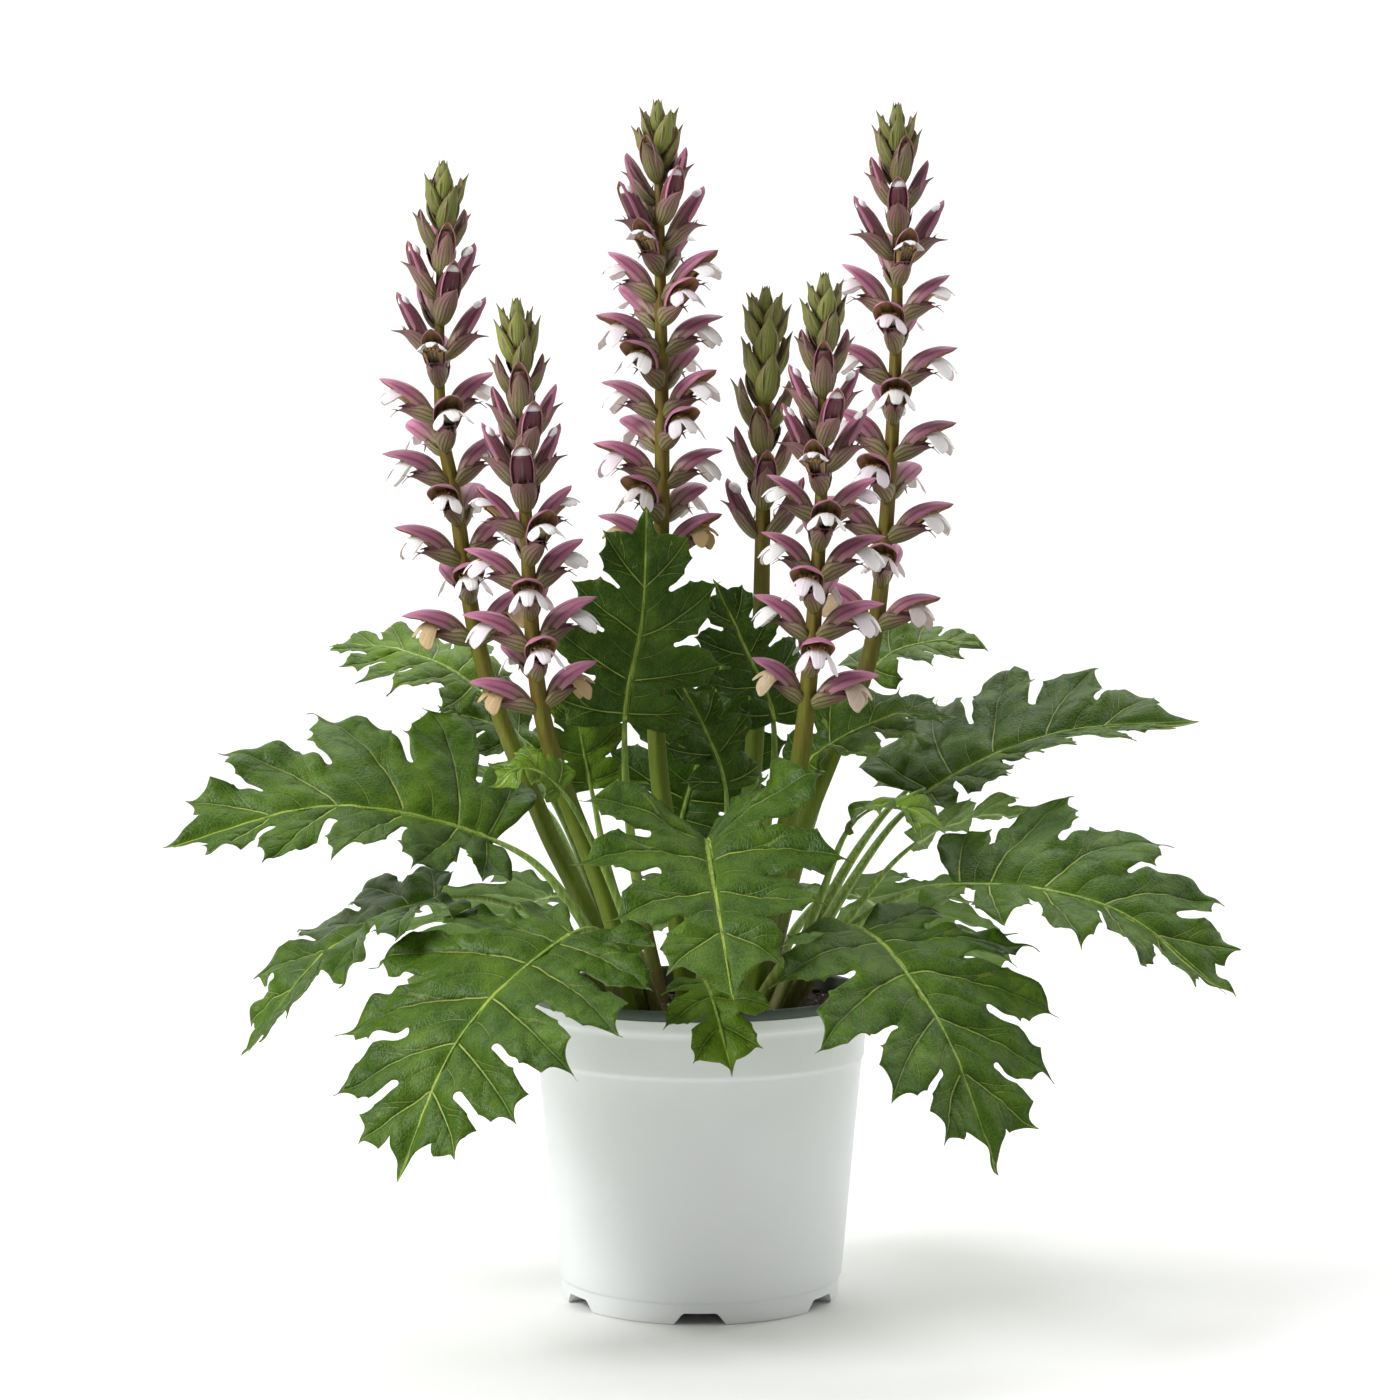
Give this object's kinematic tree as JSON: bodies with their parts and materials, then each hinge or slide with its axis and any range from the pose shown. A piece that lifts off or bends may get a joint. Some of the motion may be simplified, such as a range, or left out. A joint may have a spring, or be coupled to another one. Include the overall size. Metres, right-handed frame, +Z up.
{
  "type": "potted bear's breeches plant",
  "caption": "Clump of deeply lobed leaves with tall spikes of hooded flowers, in a tapered round nursery pot filled with soil.",
  "frame": {"origin": "on the surface that the pot stands on, under the middle of the plant, which is also the pot's axis", "axes": "+Z up along the pot's axis, -Y towards the viewer of the picture, +X to the viewer's right"},
  "size_m": [0.7183, 0.491, 0.8304],
  "materials": {
    "pot": "satin white moulded plastic, dark slate grey on the inside and along the lip",
    "soil": "matte, crumbly dark brown peat and bark compost with pale specks",
    "leaf": "satin, puckered between pale yellow-green veins, paler and duller below",
    "spike": "satin plum hoods with darker stripes, white lips, green to brown stem and olive bracts"
  },
  "bodies": {
    "root": {"pot": "pot", "soil": "soil", "leaf_front_left": "leaf", "leaf_front_right": "leaf", "leaf_front": "leaf", "leaf_front_small": "leaf", "leaf_left": "leaf", "leaf_left_low": "leaf", "leaf_right": "leaf", "leaf_right_high": "leaf", "leaf_right_middle": "leaf", "leaf_centre_high": "leaf", "leaf_back_right_high": "leaf", "leaf_inner": "leaf", "leaf_left_inner": "leaf", "leaf_left_back_high": "leaf", "leaf_left_back": "leaf", "leaf_right_back_high": "leaf", "leaf_right_back": "leaf", "leaf_right_inner": "leaf", "leaf_right_young": "leaf", "leaf_left_young": "leaf", "leaf_back_left_low": "leaf", "leaf_back_low": "leaf", "leaf_back_right_low": "leaf", "leaf_back_high": "leaf", "leaf_back_left": "leaf", "spike_left_tall": "spike", "spike_centre_tall": "spike", "spike_right_tall": "spike", "spike_left_short": "spike", "spike_right_short": "spike", "spike_back_young": "spike"}
  },
  "joints": []
}
